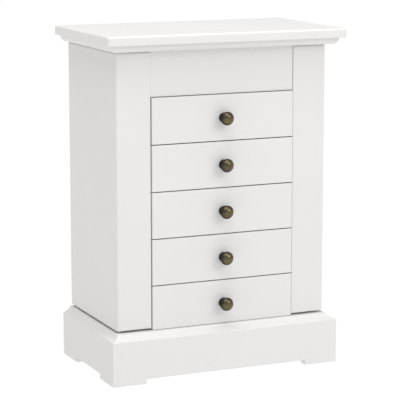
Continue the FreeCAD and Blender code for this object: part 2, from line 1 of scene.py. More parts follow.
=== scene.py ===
"""Looks of a white table-top jewelry armoire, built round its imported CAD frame.

The frame brings the boards, mouldings and hinges. This script dresses them in satin lacquer and
makes the pieces that need a finer hand: turned bronze knobs, slotted screws, velvet linings and
padded ring rolls, the bevelled mirror, the necklace hooks, and the studio round them.
"""

from __future__ import annotations

import json
import logging
import math
from contextlib import contextmanager
from dataclasses import dataclass
from enum import Enum
from typing import Callable, Iterator, Sequence

import bpy
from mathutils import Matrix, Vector

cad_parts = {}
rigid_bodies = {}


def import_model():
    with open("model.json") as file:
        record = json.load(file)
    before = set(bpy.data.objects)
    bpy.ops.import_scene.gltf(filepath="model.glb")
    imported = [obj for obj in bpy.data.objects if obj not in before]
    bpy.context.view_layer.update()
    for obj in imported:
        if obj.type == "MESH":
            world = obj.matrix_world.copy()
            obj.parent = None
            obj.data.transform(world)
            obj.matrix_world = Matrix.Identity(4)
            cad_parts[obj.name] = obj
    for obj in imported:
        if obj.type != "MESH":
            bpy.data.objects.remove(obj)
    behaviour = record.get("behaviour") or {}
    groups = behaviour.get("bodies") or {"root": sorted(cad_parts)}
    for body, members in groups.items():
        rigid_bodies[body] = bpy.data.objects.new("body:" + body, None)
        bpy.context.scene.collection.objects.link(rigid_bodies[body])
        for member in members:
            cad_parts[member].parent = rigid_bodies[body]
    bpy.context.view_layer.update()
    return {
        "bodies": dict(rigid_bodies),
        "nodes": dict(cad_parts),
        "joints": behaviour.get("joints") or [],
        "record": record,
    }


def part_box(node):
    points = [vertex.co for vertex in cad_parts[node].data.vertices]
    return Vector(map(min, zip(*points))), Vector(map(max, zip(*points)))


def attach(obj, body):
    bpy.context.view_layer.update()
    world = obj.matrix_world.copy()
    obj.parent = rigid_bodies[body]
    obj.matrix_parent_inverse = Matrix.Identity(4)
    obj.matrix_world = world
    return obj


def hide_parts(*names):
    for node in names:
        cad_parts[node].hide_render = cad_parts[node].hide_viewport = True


LOG = logging.getLogger("armoire")
MM = 0.001
DRAWERS = 5
NEVER_RUBBED = (-1.0, -2.0)  # a span of Y far in front of the cabinet, so no wear starts on it
TOLERANCE = 1e-6
Point = tuple[float, float, float]


# ------------------------------------------------------------------ colour and node helpers


def linear(code: str) -> tuple[float, float, float, float]:
    """Turn an sRGB hex value into the linear colour that a shader takes.

    Args:
        code: six hex digits with a leading hash.

    Returns:
        Red, green, blue and an alpha of one, all linear.
    """
    channels = [int(code[i : i + 2], 16) / 255 for i in (1, 3, 5)]
    light = [c / 12.92 if c <= 0.04045 else ((c + 0.055) / 1.055) ** 2.4 for c in channels]
    return (*light, 1.0)


def add_node(tree: bpy.types.NodeTree, kind: str, settings: dict | None = None,
             links: dict | None = None) -> bpy.types.ShaderNode:
    """Add one shader node with its settings and the links into its inputs.

    Args:
        tree: the material's node tree.
        kind: the type name of the node.
        settings: node attributes by name, or input defaults by input name or number.
        links: output sockets by the input name or number that they feed.

    Returns:
        The new node.
    """
    made = tree.nodes.new(kind)
    for key, value in (settings or {}).items():
        if isinstance(key, str) and hasattr(made, key):
            setattr(made, key, value)
        else:
            made.inputs[key].default_value = value
    for key, socket in (links or {}).items():
        tree.links.new(socket, made.inputs[key])
    return made


def blank_material(name: str) -> tuple[bpy.types.Material, bpy.types.NodeTree, bpy.types.ShaderNode,
                                       bpy.types.NodeSocket]:
    """Make a material that holds only a principled shader and its output.

    Args:
        name: the material's name.

    Returns:
        The material, its node tree, the shader node and the place of a point on its object.
    """
    material = bpy.data.materials.new(name)
    material.use_nodes = True
    tree = material.node_tree
    tree.nodes.clear()
    shader = add_node(tree, "ShaderNodeBsdfPrincipled")
    add_node(tree, "ShaderNodeOutputMaterial", None, {"Surface": shader.outputs["BSDF"]})
    place = add_node(tree, "ShaderNodeTexCoord").outputs["Object"]
    return material, tree, shader, place


def noise(tree: bpy.types.NodeTree, place: bpy.types.NodeSocket, size_mm: float, detail: float,
          **more: float) -> bpy.types.NodeSocket:
    """Add a noise pattern.

    Args:
        tree: the material's node tree.
        place: where the pattern is read.
        size_mm: the size of its features.
        detail: how many finer layers it has.
        more: other input defaults.

    Returns:
        The pattern's value.
    """
    settings = {"Scale": 1 / (size_mm * MM), "Detail": detail, **more}
    return add_node(tree, "ShaderNodeTexNoise", settings, {"Vector": place}).outputs["Fac"]


def spread(tree: bpy.types.NodeTree, value: bpy.types.NodeSocket, low: float, high: float,
           **more: object) -> bpy.types.NodeSocket:
    """Map a value from the span of 0 to 1 to another span.

    Args:
        tree: the material's node tree.
        value: the value that is mapped.
        low: what 0 becomes.
        high: what 1 becomes.
        more: other settings of the map, such as where it starts and ends.

    Returns:
        The mapped value.
    """
    settings = {"To Min": low, "To Max": high, **more}
    return add_node(tree, "ShaderNodeMapRange", settings, {"Value": value}).outputs["Result"]


def ramp_of(tree: bpy.types.NodeTree, value: bpy.types.NodeSocket, *stops: tuple[float, str]
            ) -> bpy.types.NodeSocket:
    """Colour a value by stops, given as (place, sRGB hex) pairs in rising order."""
    ramp = add_node(tree, "ShaderNodeValToRGB", None, {"Fac": value})
    for element, (place, colour) in zip(ramp.color_ramp.elements, stops, strict=True):
        element.position = place
        element.color = linear(colour)
    return ramp.outputs["Color"]


def blended(tree: bpy.types.NodeTree, share: bpy.types.NodeSocket, first: str, second: str
            ) -> bpy.types.NodeSocket:
    """Blend two sRGB hex colours by a share, where 0 is the first one."""
    colours = {"data_type": "RGBA", 6: linear(first), 7: linear(second)}
    return add_node(tree, "ShaderNodeMix", colours, {0: share}).outputs[2]


def raised(tree: bpy.types.NodeTree, height: bpy.types.NodeSocket, strength: float, depth_mm: float
           ) -> bpy.types.NodeSocket:
    """Turn a height into the normal of a bumped surface, of a depth in millimetres."""
    settings = {"Strength": strength, "Distance": depth_mm * MM}
    return add_node(tree, "ShaderNodeBump", settings, {"Height": height}).outputs["Normal"]


def feed(tree: bpy.types.NodeTree, shader: bpy.types.ShaderNode, inputs: dict) -> None:
    """Link sockets into a shader's inputs, and keep plain values as constants on its own sockets."""
    for name, value in inputs.items():
        if isinstance(value, bpy.types.NodeSocket):
            tree.links.new(value, shader.inputs[name])
        else:
            shader.inputs[name].default_value = value


class Grain(Enum):
    """Which way a board's grain runs, as how closely its pattern is packed along each axis."""

    ALONG_X = (1.0, 14.0, 14.0)
    ALONG_Y = (14.0, 1.0, 14.0)


# ------------------------------------------------------------------ finishes


@dataclass(frozen=True)
class Lacquer:
    """Satin polyurethane lacquer sprayed on medium density fibreboard.

    Sprayed lacquer levels out almost flat: a low, wide orange peel, a soft sheen, and no grain.
    """

    name: str = "satin_lacquer"
    colour: str = "#E4E2E1"
    shade: str = "#DFDDDC"
    roughness: float = 0.38
    refraction: float = 1.49
    sheen: float = 0.4
    clouds_per_metre: float = 9.0
    peel_mm: float = 1.6
    peel_height_mm: float = 0.006

    def build(self) -> bpy.types.Material:
        """Make the lacquer, with its faint clouding, orange peel and satin sheen."""
        material, tree, shader, place = blank_material(self.name)
        cloud = noise(tree, place, 1000 / self.clouds_per_metre, 3.0, Roughness=0.5)
        peel = noise(tree, place, self.peel_mm, 1.5, Roughness=0.4)
        feed(tree, shader, {
            "Base Color": blended(tree, cloud, self.shade, self.colour),
            "Roughness": spread(tree, cloud, self.roughness - 0.04, self.roughness + 0.05),
            "Normal": raised(tree, peel, 0.5, self.peel_height_mm),
            "IOR": self.refraction,
            "Specular IOR Level": self.sheen,
        })
        return material


@dataclass(frozen=True)
class StainedPly:
    """White-stained birch plywood: pale, fine straight grain that shows through the stain."""

    name: str
    grain: Grain
    colour: str = "#E6DECF"
    vein: str = "#D2C6B0"
    roughness: float = 0.62
    vein_mm: float = 33.6
    pore_mm: float = 8.4
    pore_depth_mm: float = 0.08

    def build(self) -> bpy.types.Material:
        """Make the ply, with veins stretched along its grain and open pores."""
        material, tree, shader, place = blank_material(self.name)
        along = add_node(tree, "ShaderNodeMapping", {"Scale": self.grain.value},
                         {"Vector": place}).outputs["Vector"]
        vein = noise(tree, along, self.vein_mm, 6.0, Roughness=0.62, Distortion=0.6)
        pore = noise(tree, along, self.pore_mm, 2.0)
        feed(tree, shader, {
            "Base Color": ramp_of(tree, vein, (0.36, self.vein), (0.62, self.colour)),
            "Roughness": self.roughness,
            "Normal": raised(tree, pore, 0.35, self.pore_depth_mm),
        })
        return material


@dataclass(frozen=True)
class Velvet:
    """Short-pile cotton velvet: pile that lies in patches, dark into the pile and pale across it."""

    name: str = "dove_velvet"
    pile: str = "#A59D96"
    deep: str = "#928A83"
    tip: str = "#D8D2CB"
    tuft_mm: float = 0.5
    tuft_depth_mm: float = 0.12
    patch_mm: float = 14.0
    roughness: float = 0.92
    gloss: float = 0.15
    bloom: float = 0.55
    bloom_roughness: float = 0.35

    def build(self) -> bpy.types.Material:
        """Make the velvet, with its pile, its brushed patches and its pale bloom."""
        material, tree, shader, place = blank_material(self.name)
        patch = noise(tree, place, self.patch_mm, 3.0)
        tuft = noise(tree, place, self.tuft_mm, 2.0, Roughness=0.7)
        total = add_node(tree, "ShaderNodeMath", {"operation": "ADD"}, {0: patch, 1: tuft})
        mean = add_node(tree, "ShaderNodeMath", {"operation": "MULTIPLY", 1: 0.5},
                        {0: total.outputs["Value"]})
        feed(tree, shader, {
            "Base Color": ramp_of(tree, mean.outputs["Value"], (0.3, self.deep), (0.7, self.pile)),
            "Roughness": self.roughness,
            "Specular IOR Level": self.gloss,
            "Sheen Weight": self.bloom,
            "Sheen Roughness": self.bloom_roughness,
            "Sheen Tint": linear(self.tip),
            "Normal": raised(tree, tuft, 0.6, self.tuft_depth_mm),
        })
        return material


@dataclass(frozen=True)
class AntiqueBronze:
    """Oil-rubbed brass: a brown-black patina, worn through to olive brass where fingers rub.

    The wear is strongest on the crown, which is the foremost few millimetres of a knob, and
    lightest round its rim. Patches of brown patina stay on the crown too.
    """

    name: str
    rub_start: float
    rub_end: float
    patina: str = "#1F1A18"
    mottle: str = "#4A403A"
    rubbed: str = "#6A6240"
    stain: str = "#5E5244"
    roughness: float = 0.27
    metallic: float = 0.8
    mottle_mm: float = 2.2
    patch_mm: float = 7.0

    def build(self) -> bpy.types.Material:
        """Make the bronze, rubbed from one Y to another and mottled with patina."""
        material, tree, shader, place = blank_material(self.name)
        mottle = noise(tree, place, self.mottle_mm, 4.0, Roughness=0.6)
        dark = ramp_of(tree, mottle, (0.35, self.patina), (0.7, self.mottle))
        depth = add_node(tree, "ShaderNodeSeparateXYZ", None, {"Vector": place}).outputs["Y"]
        rub = spread(tree, depth, 0.0, 1.0, **{"From Min": self.rub_start, "From Max": self.rub_end},
                     interpolation_type="SMOOTHSTEP")
        patches = noise(tree, place, self.patch_mm, 1.5)
        kept = spread(tree, patches, 0.0, 1.0, **{"From Min": 0.36, "From Max": 0.62})
        crown = blended(tree, kept, self.stain, self.rubbed)
        tone = add_node(tree, "ShaderNodeMix", {"data_type": "RGBA"}, {0: rub, 6: dark, 7: crown})
        feed(tree, shader, {
            "Base Color": tone.outputs[2],
            "Roughness": spread(tree, mottle, self.roughness - 0.06, self.roughness + 0.1),
            "Metallic": self.metallic,
            "Normal": raised(tree, mottle, 0.25, 0.03),
        })
        return material


@dataclass(frozen=True)
class StampedMetal:
    """Plated or lacquered hinge metal: fine roll lines from the strip and a slight dulling."""

    name: str
    colour: str
    dull: str
    roughness: float = 0.3
    line_mm: float = 4.0
    cloud_mm: float = 7.0
    stretch: Point = (1.0, 1.0, 12.0)

    def build(self) -> bpy.types.Material:
        """Make the metal, with fine roll lines and clouded plating."""
        material, tree, shader, place = blank_material(self.name)
        rolled = add_node(tree, "ShaderNodeMapping", {"Scale": self.stretch},
                          {"Vector": place}).outputs["Vector"]
        lines = noise(tree, rolled, self.line_mm, 3.0)
        cloud = noise(tree, place, self.cloud_mm, 3.0)
        feed(tree, shader, {
            "Base Color": blended(tree, cloud, self.dull, self.colour),
            "Roughness": spread(tree, lines, self.roughness - 0.08, self.roughness + 0.12),
            "Metallic": 1.0,
            "Normal": raised(tree, lines, 0.2, 0.02),
        })
        return material


@dataclass(frozen=True)
class SilveredGlass:
    """Float glass silvered on its back: a clean mirror with a faint haze of handling."""

    name: str = "silvered_glass"
    silver: str = "#E9EDEC"
    smear_mm: float = 30.0

    def build(self) -> bpy.types.Material:
        """Make the mirror, with a barely varying haze."""
        material, tree, shader, place = blank_material(self.name)
        smear = noise(tree, place, self.smear_mm, 2.0)
        feed(tree, shader, {"Base Color": linear(self.silver), "Metallic": 1.0,
                            "Roughness": spread(tree, smear, 0.01, 0.05)})
        return material


@dataclass(frozen=True)
class MouldedPlastic:
    """Injection-moulded ABS: even colour with the fine spark texture of its mould."""

    name: str = "moulded_abs"
    colour: str = "#E4E2DE"
    shade: str = "#DAD8D3"
    roughness: float = 0.45
    spark_mm: float = 0.35

    def build(self) -> bpy.types.Material:
        """Make the plastic, with its spark texture."""
        material, tree, shader, place = blank_material(self.name)
        spark = noise(tree, place, self.spark_mm, 2.0)
        feed(tree, shader, {"Base Color": blended(tree, spark, self.shade, self.colour),
                            "Roughness": self.roughness, "Normal": raised(tree, spark, 0.3, 0.02)})
        return material


@dataclass(frozen=True)
class OpalAcrylic:
    """The backlit opal sheet of a light table, which leaves almost no shadow."""

    glow: float
    name: str = "opal_acrylic"
    colour: str = "#626262"
    shade: str = "#5F5F5F"
    roughness: float = 0.95
    clouds_per_metre: float = 3.0

    def build(self) -> bpy.types.Material:
        """Make the acrylic, clouded a little and lit from behind."""
        material, tree, shader, place = blank_material(self.name)
        cloud = noise(tree, place, 1000 / self.clouds_per_metre, 2.0)
        feed(tree, shader, {
            "Base Color": blended(tree, cloud, self.shade, self.colour),
            "Roughness": self.roughness,
            "Specular IOR Level": 0.0,
            "Emission Color": linear("#FFFFFF"),
            "Emission Strength": self.glow,
        })
        return material


# ------------------------------------------------------------------ bench work


def select_only(*objects: bpy.types.Object) -> None:
    """Select these objects and nothing else, with the first one active."""
    bpy.ops.object.select_all(action="DESELECT")
    for item in objects:
        item.select_set(True)
    bpy.context.view_layer.objects.active = objects[0]


def newest(name: str) -> bpy.types.Object:
    """Name the object that an operator has just made."""
    made = bpy.context.view_layer.objects.active
    made.name = name
    made.data.name = name
    return made


def fresh() -> None:
    """Clear the selection before a primitive is added."""
    bpy.ops.object.select_all(action="DESELECT")


def settle(piece: bpy.types.Object) -> bpy.types.Object:
    """Put a piece's place, turn and scale into its mesh."""
    select_only(piece)
    bpy.ops.object.transform_apply(location=True, rotation=True, scale=True)
    return piece


def slab(name: str, low: Sequence[float], high: Sequence[float]) -> bpy.types.Object:
    """Add a block between two corners.

    Args:
        name: the new object's name.
        low: lowest corner, in metres.
        high: highest corner, in metres.

    Returns:
        The block, with its place in its mesh.
    """
    fresh()
    centre = (Vector(low) + Vector(high)) / 2
    bpy.ops.mesh.primitive_cube_add(size=1.0, location=centre)
    made = newest(name)
    made.scale = Vector(high) - Vector(low)
    return settle(made)


@contextmanager
def editing(piece: bpy.types.Object, mode: str = "FACE") -> Iterator[None]:
    """Work on a piece in edit mode, in one select mode, and leave edit mode after."""
    select_only(piece)
    bpy.ops.object.mode_set(mode="EDIT")
    bpy.ops.mesh.select_mode(type=mode)
    try:
        yield
    finally:
        bpy.ops.object.mode_set(mode="OBJECT")


def unpick(mesh: bpy.types.Mesh) -> None:
    """Clear every selection in a mesh."""
    for item in (*mesh.vertices, *mesh.edges, *mesh.polygons):
        item.select = False


def pick_faces(piece: bpy.types.Object, wanted: Callable[[bpy.types.MeshPolygon], bool]) -> None:
    """Select the faces that pass a test, and no other part of the piece."""
    unpick(piece.data)
    for face in piece.data.polygons:
        if wanted(face):
            face.select = True


def pick_edges(piece: bpy.types.Object, wanted: Callable[[Vector, Vector], bool]) -> None:
    """Select the edges whose two ends pass a test, and no other part of the piece."""
    mesh = piece.data
    unpick(mesh)
    for edge in mesh.edges:
        if wanted(*(mesh.vertices[v].co for v in edge.vertices)):
            edge.select = True


def faces_along(direction: Point, limit: float = 0.99) -> Callable[[bpy.types.MeshPolygon], bool]:
    """A test for faces that look in a direction."""
    return lambda face: face.normal.dot(Vector(direction)) > limit


def with_modifier(piece: bpy.types.Object, kind: str, **settings: object) -> bpy.types.Object:
    """Add a modifier to a piece, set it and apply it."""
    select_only(piece)
    bpy.ops.object.modifier_add(type=kind)
    modifier = piece.modifiers[-1]
    for key, value in settings.items():
        setattr(modifier, key, value)
    bpy.ops.object.modifier_apply(modifier=modifier.name)
    return piece


def rounded(piece: bpy.types.Object, radius: float, segments: int = 3,
            angle: float = 30.0) -> bpy.types.Object:
    """Round every edge of a piece that is sharper than an angle in degrees."""
    return with_modifier(piece, "BEVEL", width=radius, segments=segments, limit_method="ANGLE",
                         angle_limit=math.radians(angle), use_clamp_overlap=True)


def smooth(piece: bpy.types.Object, angle: float = 35.0) -> bpy.types.Object:
    """Shade a piece smooth, except across edges sharper than an angle in degrees."""
    select_only(piece)
    bpy.ops.object.shade_smooth_by_angle(angle=math.radians(angle))
    return piece


def outward(piece: bpy.types.Object) -> bpy.types.Object:
    """Merge a piece's doubles and turn its faces outwards."""
    with editing(piece):
        bpy.ops.mesh.select_all(action="SELECT")
        bpy.ops.mesh.remove_doubles(threshold=TOLERANCE)
        bpy.ops.mesh.normals_make_consistent(inside=False)
    return piece


def merged(name: str, pieces: Sequence[bpy.types.Object]) -> bpy.types.Object:
    """Join several meshes into one named piece."""
    select_only(*pieces)
    if len(pieces) > 1:
        bpy.ops.object.join()
    return newest(name)


def copy_of(piece: bpy.types.Object, name: str, shift: Sequence[float]) -> bpy.types.Object:
    """Copy a piece with its own mesh, moved by a shift."""
    select_only(piece)
    bpy.ops.object.duplicate(linked=False)
    made = newest(name)
    made.location = Vector(made.location) + Vector(shift)
    return settle(made)


class Facing(Enum):
    """Which way a lathed piece's axis points, as the turn from +Z."""

    FRONT = (math.pi / 2, 0.0, 0.0)
    BACK = (-math.pi / 2, 0.0, 0.0)
    RIGHT = (0.0, math.pi / 2, 0.0)
    LEFT = (0.0, -math.pi / 2, 0.0)


def lathe(name: str, profile: Sequence[tuple[float, float]], at: Point, facing: Facing,
          segments: int = 40) -> bpy.types.Object:
    """Turn a solid on a lathe, ring by ring.

    Args:
        name: the new object's name.
        profile: (radius, distance along the axis) for each ring; a last radius of zero closes it.
        at: where the axis starts.
        facing: which way the axis points.
        segments: sides of each ring.

    Returns:
        The closed solid, with its place in its mesh.
    """
    fresh()
    radius, start = profile[0]
    bpy.ops.mesh.primitive_circle_add(vertices=segments, radius=radius, fill_type="NGON",
                                      location=(0.0, 0.0, start))
    made = newest(name)
    settle(made)
    with editing(made):
        bpy.ops.mesh.select_all(action="SELECT")
        for (r0, d0), (r1, d1) in zip(profile, profile[1:]):
            bpy.ops.mesh.extrude_region_move(
                TRANSFORM_OT_translate={"value": (0.0, 0.0, d1 - d0), "orient_type": "GLOBAL"})
            if r1 <= 0.0:
                bpy.ops.mesh.merge(type="CENTER")
                break
            scale = r1 / r0
            bpy.ops.transform.resize(value=(scale, scale, 1.0), orient_type="GLOBAL",
                                     center_override=(0.0, 0.0, d1))
    outward(made)
    made.rotation_euler = facing.value
    made.location = at
    return settle(made)


def arc(centre: tuple[float, float], radius: float, start: float, end: float,
        steps: int) -> list[tuple[float, float]]:
    """Points on an arc of a lathe profile.

    Args:
        centre: (distance from the axis, distance along it) of the arc's centre.
        radius: the arc's radius.
        start: first angle in degrees, from straight out of the axis.
        end: last angle in degrees.
        steps: how many spans the arc has.

    Returns:
        The points, both ends included.
    """
    turns = [math.radians(start + (end - start) * i / steps) for i in range(steps + 1)]
    return [(centre[0] + radius * math.cos(t), centre[1] + radius * math.sin(t)) for t in turns]


def finish_piece(piece: bpy.types.Object, material: bpy.types.Material, body: str, slot: str,
                 *nodes: str) -> bpy.types.Object:
    """Dress a piece, set it on its body and hide the CAD nodes that it stands for.

    Args:
        piece: the finished mesh.
        material: its finish.
        body: the CAD body that carries it.
        slot: the record's material slot of its finish; not used.
        nodes: the CAD nodes that it replaces, if any.

    Returns:
        The piece.
    """
    piece.data.materials.clear()
    piece.data.materials.append(material)
    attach(piece, body)
    if nodes:
        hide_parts(*nodes)
    LOG.info("%s rides on %s", piece.name, body)
    return piece


# ------------------------------------------------------------------ drawers


@dataclass
class DrawerKnob:
    """A turned bronze knob with a rose, a waisted neck and a domed head, and the bolt behind it."""

    number: int
    rose_radius: float = 5.9 * MM
    bead_radius: float = 0.45 * MM
    neck_radius: float = 3.2 * MM
    head_radius: float = 7.9 * MM
    reach: float = 16.4 * MM
    crown: float = 11.3 * MM
    bolt_head_radius: float = 3.6 * MM
    bolt_head_edge: float = 0.9 * MM
    bolt_head_easing: float = 0.2 * MM
    slot_width: float = 0.8 * MM
    slot_depth: float = 0.7 * MM

    def __post_init__(self) -> None:
        """Read the knob's place from its drawer."""
        low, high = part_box(f"drawer_{self.number}_knob")
        front_low, front_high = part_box(f"drawer_{self.number}_front")
        self.centre = ((low.x + high.x) / 2, (low.z + high.z) / 2)
        self.face = front_low.y
        self.rear = front_high.y
        self.bolt_end = high.y

    def profile(self) -> list[tuple[float, float]]:
        """The knob's half section: rose, neck, two ring beads and a domed crown."""
        rose, neck, head = self.rose_radius, self.neck_radius, self.head_radius
        rise = self.reach - self.crown
        dome = (head**2 + rise**2) / (2 * rise)
        start = math.degrees(math.asin((self.crown - (self.reach - dome)) / dome))
        points = [(rose - 0.3 * MM, 0.0), (rose, 0.3 * MM), (rose, 0.9 * MM)]
        points += arc((rose - 0.7 * MM, 0.9 * MM), 0.7 * MM, 0, 80, 4)
        points += [(rose - 1.2 * MM, 1.75 * MM)]
        points += arc((rose - 1.4 * MM, 2.15 * MM), self.bead_radius, -50, 60, 4)
        waist = [(0.35, 3.0), (0.0, 3.8), (-0.1, 4.9), (0.25, 6.1), (0.9, 7.1), (2.0, 7.9)]
        points += [(neck + across * MM, up * MM) for across, up in waist]
        points += arc((head - 1.45 * MM, self.crown - 2.65 * MM), 0.6 * MM, -70, 70, 5)
        points += [(head - 1.25 * MM, self.crown - 1.85 * MM)]
        points += arc((head - 0.75 * MM, self.crown - 1.1 * MM), 0.75 * MM, -80, 35, 6)
        points += [(head - 0.28 * MM, self.crown - 0.4 * MM)]
        points += [p for p in arc((0.0, self.reach - dome), dome, start, 88, 12)]
        return [*points, (0.0, self.reach)]

    def build(self, bronze: bpy.types.Material) -> None:
        """Turn the knob and its bolt head, and set both on the drawer."""
        x, z = self.centre
        knob = lathe(f"drawer_{self.number}_turned_knob", self.profile(), (x, self.face, z),
                     Facing.FRONT, segments=56)
        smooth(knob, 40)
        finish_piece(knob, bronze, f"drawer_{self.number}", "antique_bronze",
                     f"drawer_{self.number}_knob")
        radius, height = self.bolt_head_radius, self.bolt_end - self.rear
        edge, easing = self.bolt_head_edge, self.bolt_head_easing
        section = [(radius - easing, 0.0), (radius, easing), (radius, edge)]
        turns = [math.radians(degrees) for degrees in (20, 40, 60, 78)]
        section += [(radius * math.cos(t), edge + (height - edge) * math.sin(t)) for t in turns]
        head = lathe(f"drawer_{self.number}_bolt_head", [*section, (0.0, height)],
                     (x, self.rear, z), Facing.BACK, segments=32)
        cut_cross(head, (x, self.bolt_end, z), radius * 1.3, self.slot_width, self.slot_depth)
        smooth(head, 35)
        finish_piece(head, bronze, f"drawer_{self.number}", "antique_bronze")


def cut_cross(head: bpy.types.Object, at: Point, length: float, width: float, depth: float) -> None:
    """Cut a driver's cross into a screw head that faces the back.

    Args:
        head: the screw head, which is changed.
        at: the middle of the head's outer face.
        length: the length of each arm, end to end.
        width: an arm's width.
        depth: how deep it goes.
    """
    x, y, z = at
    for wide, tall in ((length, width), (width, length)):
        cutter = slab("driver_slot", (x - wide / 2, y - depth, z - tall / 2),
                      (x + wide / 2, y + depth, z + tall / 2))
        with_modifier(head, "BOOLEAN", operation="DIFFERENCE", solver="EXACT", object=cutter)
        bpy.data.objects.remove(cutter)


def flocked_tray(name: str, low: Sequence[float], high: Sequence[float],
                 pile: float) -> bpy.types.Object:
    """Line a box-shaped recess with one skin of flock, open at the top.

    Args:
        name: the new object's name.
        low: the recess's lowest corner.
        high: its highest corner, level with the lining's rim.
        pile: the flock's thickness.

    Returns:
        The lining.
    """
    tray = slab(name, low, high)
    pick_faces(tray, faces_along((0, 0, 1)))
    with editing(tray):
        bpy.ops.mesh.inset(thickness=pile, depth=0.0)
        drop = -(high[2] - low[2] - pile)
        bpy.ops.mesh.extrude_region_move(TRANSFORM_OT_translate={"value": (0.0, 0.0, drop)})
    rounded(outward(tray), pile * 0.45, segments=2)
    return smooth(tray, 40)


@dataclass
class DrawerLining:
    """A flocked velvet lining in one drawer, up to a little below the walls' top edge."""

    number: int
    pile: float = 0.6 * MM
    below_rim: float = 7.0 * MM
    fit: float = 0.05 * MM

    def build(self, velvet: bpy.types.Material) -> None:
        """Line the drawer and set the lining on it."""
        bottom_low, bottom_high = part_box(f"drawer_{self.number}_bottom")
        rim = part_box(f"drawer_{self.number}_walls")[1].z - self.below_rim
        low = (bottom_low.x + self.fit, bottom_low.y + self.fit, bottom_high.z + self.fit)
        high = (bottom_high.x - self.fit, bottom_high.y - self.fit, rim)
        lining = flocked_tray(f"drawer_{self.number}_lining", low, high, self.pile)
        finish_piece(lining, velvet, f"drawer_{self.number}", "velvet")


# ------------------------------------------------------------------ top tray


@dataclass
class RingRolls:
    """The padded rolls that hold rings: foam wrapped in velvet, side by side in the tray."""

    count: int = 6
    gap: float = 0.5 * MM
    rounding: float = 8.8 * MM
    voxel: float = 1.5 * MM
    pressure: float = 4.0
    frames: int = 14
    most_swell: float = 0.9 * MM
    start_smaller: float = 0.8 * MM
    tuck: float = 1.6 * MM
    end_border: float = 2.4 * MM
    end_slope: float = 1.2 * MM
    fill: float = 0.85

    def blank(self, low: Vector, high: Vector) -> bpy.types.Object:
        """Shape one roll: a rounded top, a flat base and tucked ends."""
        less = self.start_smaller
        top = high.z - less
        roll = slab("ring_roll_blank", low + Vector((less, less, 0.1 * MM)),
                    high - Vector((less, less, less)))
        pick_edges(roll, lambda a, b: min(a.z, b.z) > top - 10 * TOLERANCE and abs(a.y - b.y) < TOLERANCE)
        with editing(roll, "EDGE"):
            bpy.ops.mesh.bevel(offset=self.rounding, segments=8, affect="EDGES")
        for side in (-1.0, 1.0):
            pick_faces(roll, faces_along((side, 0, 0)))
            with editing(roll):
                bpy.ops.mesh.inset(thickness=self.end_border, depth=0.0)
                bpy.ops.mesh.inset(thickness=self.end_slope, depth=-self.tuck)
        return roll

    def swell(self, roll: bpy.types.Object) -> None:
        """Puff the roll's cover under a little pressure, within a limit, as foam fills velvet."""
        with_modifier(roll, "REMESH", mode="VOXEL", voxel_size=self.voxel)
        rest = [v.co.copy() for v in roll.data.vertices]
        select_only(roll)
        bpy.ops.object.modifier_add(type="CLOTH")
        cloth = roll.modifiers[-1]
        cloth.settings.use_pressure = True
        cloth.settings.uniform_pressure_force = self.pressure
        cloth.settings.effector_weights.gravity = 0.0
        scene = bpy.context.scene
        for frame in range(1, self.frames + 1):
            scene.frame_set(frame)
        bpy.ops.object.modifier_apply(modifier=cloth.name)
        scene.frame_set(1)
        floor = min(p.z for p in rest)
        for vertex, start in zip(roll.data.vertices, rest):
            move = vertex.co - start
            if move.length > self.most_swell:
                move.length = self.most_swell
            vertex.co = start + move
            vertex.co.z = max(vertex.co.z, floor)
        with_modifier(roll, "SMOOTH", factor=0.5, iterations=3)
        with_modifier(roll, "SUBSURF", levels=1, render_levels=1)
        smooth(roll, 60)

    def build(self, velvet: bpy.types.Material) -> None:
        """Make one roll, copy it along the tray and set the set on the carcass."""
        low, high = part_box("ring_rolls")
        pitch = (high.y - low.y + self.gap) / self.count
        first = self.blank(Vector((low.x, low.y + self.gap / 4, low.z)),
                           Vector((high.x, low.y + pitch - self.gap, high.z)))
        self.swell(first)
        rolls = [first] + [copy_of(first, f"ring_roll_{i}", (0.0, i * pitch, 0.0))
                           for i in range(1, self.count)]
        padding = merged("ring_rolls_padded", rolls)
        finish_piece(padding, velvet, "carcass", "velvet", "ring_rolls")


@dataclass
class TrayLining:
    """Velvet flock round the tray under the lid, above its rolls and in its compartments."""

    pile: float = 0.6 * MM
    divider: float = 3.0 * MM
    fit: float = 0.02 * MM
    below_divider: float = 0.5 * MM
    above_divider: float = 0.3 * MM
    below_top: float = 3.0 * MM

    def build(self, velvet: bpy.types.Material) -> None:
        """Line each compartment and the tray's upper walls."""
        floor_low, floor_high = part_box("tray_floor")
        divider_low, divider_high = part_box("tray_dividers")
        depth = floor_high.y - floor_low.y
        left, right = divider_low.x + self.divider, divider_high.x
        edges = [floor_low.y, floor_low.y + depth / 3, floor_low.y + 2 * depth / 3, floor_high.y]
        rim = divider_high.z - self.below_divider
        for i, name in enumerate(("front", "middle", "rear")):
            start = edges[i] + (self.divider if i else 0.0)
            low = (left + self.fit, start + self.fit, floor_high.z + self.fit)
            high = (right - self.fit, edges[i + 1] - self.fit, rim)
            finish_piece(flocked_tray(f"tray_{name}_lining", low, high, self.pile), velvet, "carcass",
                         "velvet")
        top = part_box("fascia")[1].z - self.below_top
        band_low = (floor_low.x, floor_low.y, divider_high.z + self.above_divider)
        band = ring_band("tray_upper_lining", band_low, (floor_high.x, floor_high.y, top), self.pile)
        finish_piece(band, velvet, "carcass", "velvet")


